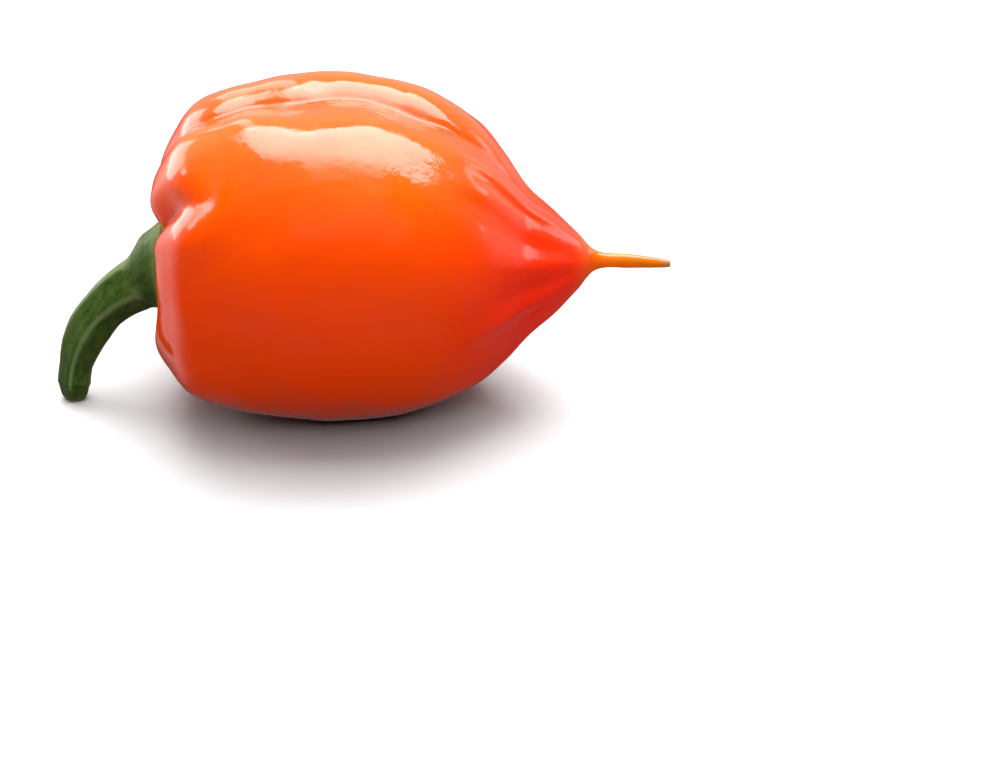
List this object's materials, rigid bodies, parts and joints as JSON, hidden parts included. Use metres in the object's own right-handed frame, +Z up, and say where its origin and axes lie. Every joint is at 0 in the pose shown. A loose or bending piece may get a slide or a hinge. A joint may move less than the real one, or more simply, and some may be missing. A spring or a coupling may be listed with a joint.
{
  "type": "chilli pepper",
  "caption": "Whole orange habanero chilli pepper: a lobed, glossy lantern-shaped fruit with a thin tail, green calyx and bent ridged stem, lying on its side.",
  "frame": {"origin": "on the surface that the pepper lies on, below the middle of its bounding box", "axes": "+X from the stem end to the tail, +Z up"},
  "size_m": [0.062, 0.0354, 0.0327],
  "materials": {
    "fruit_skin": "waxy, glossy orange skin, redder towards the neck and yellow at the tail",
    "calyx_green": "satin green with a paler rim",
    "stem_green": "satin dark green, ridged along its length, with a pale cut end"
  },
  "bodies": {
    "root": {"fruit": "fruit_skin", "calyx": "calyx_green", "stem": "stem_green"}
  },
  "joints": []
}
